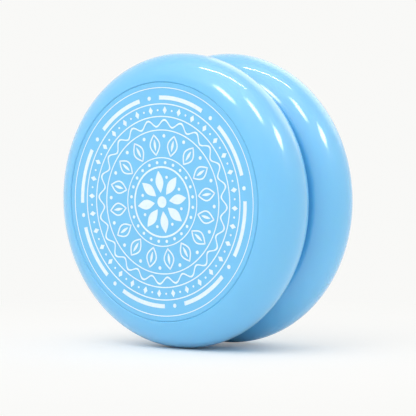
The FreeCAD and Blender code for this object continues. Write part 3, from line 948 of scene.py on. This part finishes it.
pad_low, pad_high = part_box("rear_response_pad")
spacer_low, spacer_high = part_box("rear_spacer")
bearing_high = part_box("bearing_outer_race")[1]
PAD_INNER = 7.3 * MM
PAD_CORNER = 0.12 * MM
PAD_SECTION = [(PAD_INNER, pad_low.y), (pad_high.x, pad_low.y), (pad_high.x, pad_high.y),
               (PAD_INNER, pad_high.y)]
SPACER_HOLE_INSIDE = 2.08 * MM
SPACER_NOSE = 3.155 * MM     # the part that goes into the bearing
SPACER_CORNER = 0.1 * MM
SPACER_SECTION = [(SPACER_HOLE_INSIDE, spacer_low.y), (SPACER_NOSE, spacer_low.y),
                  (SPACER_NOSE, bearing_high.y), (spacer_high.x, bearing_high.y),
                  (spacer_high.x, spacer_high.y), (SPACER_HOLE_INSIDE, spacer_high.y)]
for side in ("rear", "front"):
    make_ring(side + "_grip_ring", side + "_response_pad", PAD_SECTION, silicone, side,
              PAD_CORNER)
    make_ring(side + "_turned_spacer", side + "_spacer", SPACER_SECTION, turned_aluminium,
              side, SPACER_CORNER)

# %% [markdown]
# The bearing is built as a real one is: two races with a round track, ten balls in a brass cage,
# and a shield on each side held by an open wire clip. The races are lathe work again, and their
# ball tracks are arcs in the sections.

# %% Races
BORE_RADIUS = 3.175 * MM
PITCH_RADIUS = (BORE_RADIUS + bearing_high.x) / 2
TRACK_RADIUS = 0.83375 * MM
SHOULDER = 0.56375 * MM      # from the balls' circle to a race's plain part
RACE_FACE = bearing_high.y
RACE_EDGE = 0.2 * MM
SHIELD_SEAT = 1.1275 * MM
SHIELD_SEAT_RADIUS = 5.656 * MM
CLIP_GROOVE_START = 1.2875 * MM
CLIP_GROOVE_END = 1.4875 * MM
CLIP_GROOVE_RADIUS = 5.816 * MM
track_half = math.sqrt(TRACK_RADIUS ** 2 - SHOULDER ** 2)
track_angle = 2 * math.degrees(math.asin(track_half / TRACK_RADIUS))
inner_shoulder = PITCH_RADIUS - SHOULDER
outer_shoulder = PITCH_RADIUS + SHOULDER


def make_race(name, node, shoulder, degrees, rest):
    """A race: its ball track as an arc, then the rest of its section as straight lines."""
    bm = bmesh.new()
    pen = []
    draw_line(bm, pen, shoulder, -track_half)
    draw_arc(bm, pen, (PITCH_RADIUS, 0), degrees, 12)
    draw_lines(bm, pen, rest)
    bm.edges.new((pen[-1], pen[0]))
    turn_section(bm)
    finish_piece(bm, name, bearing_steel, node)


def both_sides(points):
    """Points of one side, then the same points of the other side in the opposite order."""
    return points + [(radius, -out) for radius, out in reversed(points)]


make_race("inner_ring", "bearing_inner_race", inner_shoulder, -track_angle, both_sides([
    (inner_shoulder, RACE_FACE), (BORE_RADIUS + RACE_EDGE, RACE_FACE), (BORE_RADIUS, RACE_FACE - RACE_EDGE)]))
make_race("outer_ring", "bearing_outer_race", outer_shoulder, track_angle, both_sides([
    (outer_shoulder, SHIELD_SEAT), (SHIELD_SEAT_RADIUS, SHIELD_SEAT), (SHIELD_SEAT_RADIUS, CLIP_GROOVE_START),
    (CLIP_GROOVE_RADIUS, CLIP_GROOVE_START), (CLIP_GROOVE_RADIUS, CLIP_GROOVE_END),
    (SHIELD_SEAT_RADIUS, CLIP_GROOVE_END), (SHIELD_SEAT_RADIUS, RACE_FACE),
    (bearing_high.x - RACE_EDGE, RACE_FACE), (bearing_high.x, RACE_FACE - RACE_EDGE)]))

# %% [markdown]
# A shield is a thin pressed steel ring that keeps dust off the balls, with a small lip turned in at
# its hole. Solidify could thicken a flat ring, but the lip makes the section an L, so it is drawn
# and turned as the other rings are.

# %% Shields
shield_low, shield_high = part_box("rear_bearing_shield")
SHIELD_INNER = 4.359 * MM
SHIELD_SHEET = 0.16 * MM
SHIELD_CORNER = 0.02 * MM
SHIELD_SECTION = [(SHIELD_INNER, shield_low.y), (SHIELD_INNER + SHIELD_SHEET, shield_low.y),
                  (SHIELD_INNER + SHIELD_SHEET, shield_high.y - SHIELD_SHEET),
                  (shield_high.x, shield_high.y - SHIELD_SHEET), (shield_high.x, shield_high.y),
                  (SHIELD_INNER, shield_high.y)]
for side in ("rear", "front"):
    make_ring(side + "_shield", side + "_bearing_shield", SHIELD_SECTION, bearing_steel,
              side, SHIELD_CORNER)

# %% [markdown]
# The balls are ground and lapped, so they are the shiniest metal here. A UV sphere would pinch at
# its poles, so each is an icosphere, made right where its solid is. All of its edges are shaded
# smooth.

# %% Balls
BALL_RADIUS = 0.79375 * MM
BALL_COUNT = 10


def make_ball(number):
    """One ball, where its CAD node is."""
    node = f"bearing_ball_{number:02}"
    low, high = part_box(node)
    bm = bmesh.new()
    place = Matrix.Translation((low + high) / 2)
    bmesh.ops.create_icosphere(bm, subdivisions=4, radius=BALL_RADIUS, matrix=place)
    finish_piece(bm, f"ball_{number:02}", ball_chrome, node, sharp=180)


for number in range(1, BALL_COUNT + 1):
    make_ball(number)

# %% [markdown]
# Some CAD shapes are right as they are: the nuts, the cage and the wire clips. Their triangles
# are loose, though, so they would shade flat. Each gets a copy with its doubles merged and smooth
# shading between its sharp edges, which stands for the node.

# %% Nuts, cage and clips
def smooth_copy(name, node, material):
    """A merged copy of a CAD node that shades smoothly."""
    bm = bmesh.new()
    bm.from_mesh(frame["nodes"][node].data)
    bmesh.ops.remove_doubles(bm, verts=bm.verts, dist=SAME_PLACE)
    finish_piece(bm, name, material, node)


smooth_copy("ball_cage", "bearing_cage", cage_brass)
for side in ("rear", "front"):
    smooth_copy(side + "_hex_nut", side + "_nut", zinc_steel)
    smooth_copy(side + "_wire_clip", side + "_bearing_clip", bearing_steel)

# %% [markdown]
# The axle is a headless screw. Its core is a turned rod, and a key turns it by a hexagon socket in
# one end. The socket is made as the nut pocket was: the ring round its mouth is extruded to a
# hexagon, then down, and a last face closes the bottom.

# %% Axle's core and socket
AXLE_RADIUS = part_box("axle")[1].x
AXLE_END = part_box("axle")[1].y
THREAD_DEPTH = 0.42 * MM
CORE_RADIUS = AXLE_RADIUS - THREAD_DEPTH
CORE_CHAMFER = 0.15 * MM
SOCKET_LIP = 1.3 * MM
SOCKET_FLATS = 2.0 * MM
SOCKET_DEPTH = 2.2 * MM


def draw_core(bm):
    """The rod from the middle of its front end to the edge of the socket."""
    draw_lines(bm, [], [(0, -AXLE_END), (CORE_RADIUS - CORE_CHAMFER, -AXLE_END),
                        (CORE_RADIUS, CORE_CHAMFER - AXLE_END), (CORE_RADIUS, AXLE_END - CORE_CHAMFER),
                        (CORE_RADIUS - CORE_CHAMFER, AXLE_END), (SOCKET_LIP, AXLE_END)])


def add_socket(bm):
    """A six-sided hole in the rod's rear end."""
    mouth = grow_ring(bm, ring_at(bm, SOCKET_LIP, AXLE_END), hexagon, SOCKET_FLATS, AXLE_END)
    bottom = grow_ring(bm, mouth, hexagon, SOCKET_FLATS, AXLE_END - SOCKET_DEPTH)
    bmesh.ops.contextual_create(bm, geom=bottom)


print("the axle's core is", round(2 * CORE_RADIUS / MM, 2), "mm thick")

# %% [markdown]
# A thread is a ridge that climbs round the core. A Screw modifier makes one in the editor. Here a
# section with sloping sides is spun as everywhere else, but with a small step along the axis at
# each step of the turn. Its foot is sunk a little into the core.

# %% Thread
THREAD_PITCH = 0.7 * MM
THREAD_SUNK = 0.02 * MM
THREAD_FOOT = 0.47 * THREAD_PITCH          # half the ridge's width at the core
THREAD_CREST = 0.06 * THREAD_PITCH         # half its width at the top
THREAD_TURNS = 26
STEPS_A_TURN = 48


def add_thread(bm):
    """The helical ridge."""
    start = -THREAD_TURNS / 2 * THREAD_PITCH
    root = CORE_RADIUS - THREAD_SUNK
    corners = [(root, -THREAD_FOOT), (AXLE_RADIUS, -THREAD_CREST), (AXLE_RADIUS, THREAD_CREST),
               (root, THREAD_FOOT)]
    face = bm.faces.new([bm.verts.new((radius, start + out, 0)) for radius, out in corners])
    bmesh.ops.spin(bm, geom=[*face.verts, *face.edges, face], cent=ORIGIN, axis=AXIS,
                   dvec=AXIS * (THREAD_PITCH / STEPS_A_TURN), angle=2 * math.pi * THREAD_TURNS,
                   steps=THREAD_TURNS * STEPS_A_TURN, use_merge=False, use_duplicate=False)


axle_bm = bmesh.new()
draw_core(axle_bm)
turn_section(axle_bm)
add_socket(axle_bm)
add_thread(axle_bm)
finish_piece(axle_bm, "threaded_axle", black_steel, "axle")
